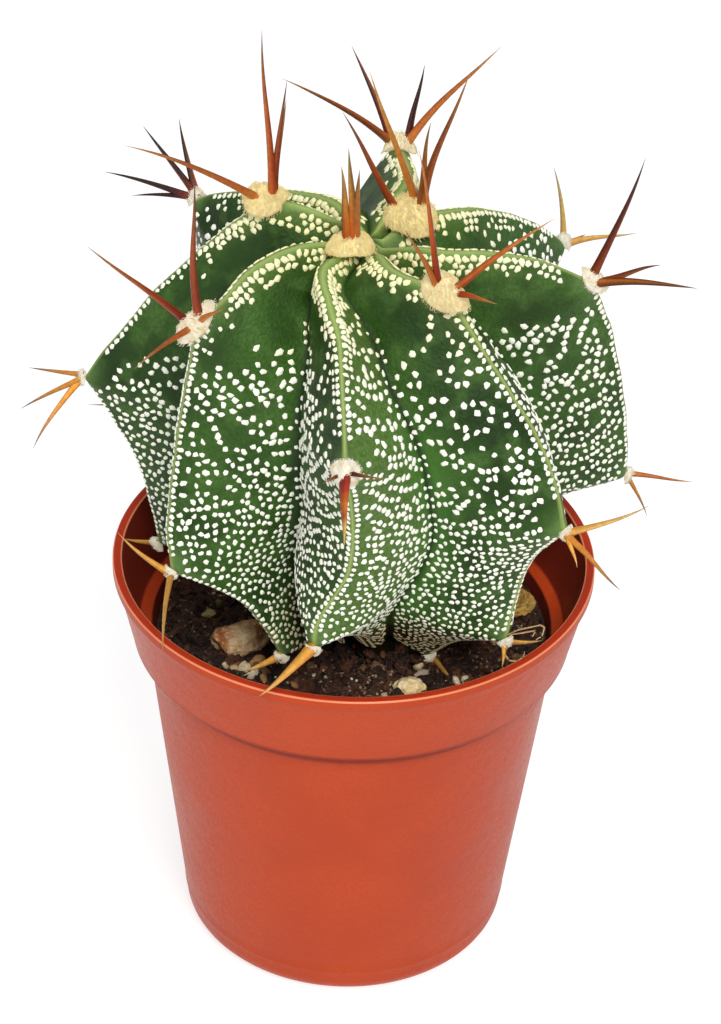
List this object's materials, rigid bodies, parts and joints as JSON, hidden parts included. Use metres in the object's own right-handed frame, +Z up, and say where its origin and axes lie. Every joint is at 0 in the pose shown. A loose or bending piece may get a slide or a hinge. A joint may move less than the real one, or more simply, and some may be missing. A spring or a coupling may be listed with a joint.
{
  "type": "potted monks hood cactus",
  "caption": "Young monk's hood cactus with sharp, notched, white-flecked ribs and woolly areoles with long spines, growing in soil in a small round plastic nursery pot.",
  "frame": {"origin": "middle of the pot's underside", "axes": "+Z up, the front of the plant faces -Y, +X to the right as seen from the front"},
  "size_m": [0.0887, 0.092, 0.1382],
  "materials": {
    "pot_plastic": "moulded terracotta-red plastic, satin",
    "peat": "moist dark peat with fine grit",
    "cactus_skin": "dark green living skin with white wool flecks",
    "areole_wool": "cream wool with stiff red-brown to amber spines",
    "stone_tan": "rough dry stone",
    "stone_ochre": "rough layered stone",
    "pebble_pale": "smooth pale pebble"
  },
  "bodies": {
    "root": {"pot": "pot_plastic", "soil": "peat", "stone_tan": "stone_tan", "stone_ochre": "stone_ochre", "pebble_pale": "pebble_pale", "cactus_stem": "cactus_skin", "areole_back_1": "areole_wool", "areole_back_2": "areole_wool", "areole_back_3": "areole_wool", "areole_back_left_1": "areole_wool", "areole_back_left_2": "areole_wool", "areole_back_left_3": "areole_wool", "areole_back_right_1": "areole_wool", "areole_back_right_2": "areole_wool", "areole_back_right_3": "areole_wool", "areole_front_1": "areole_wool", "areole_front_2": "areole_wool", "areole_front_3": "areole_wool", "areole_front_left_1": "areole_wool", "areole_front_left_2": "areole_wool", "areole_front_left_3": "areole_wool", "areole_front_right_1": "areole_wool", "areole_front_right_2": "areole_wool", "areole_front_right_3": "areole_wool", "areole_front_right_4": "areole_wool", "areole_left_1": "areole_wool", "areole_left_2": "areole_wool", "areole_left_3": "areole_wool", "areole_right_1": "areole_wool", "areole_right_2": "areole_wool", "areole_right_3": "areole_wool"}
  },
  "joints": []
}
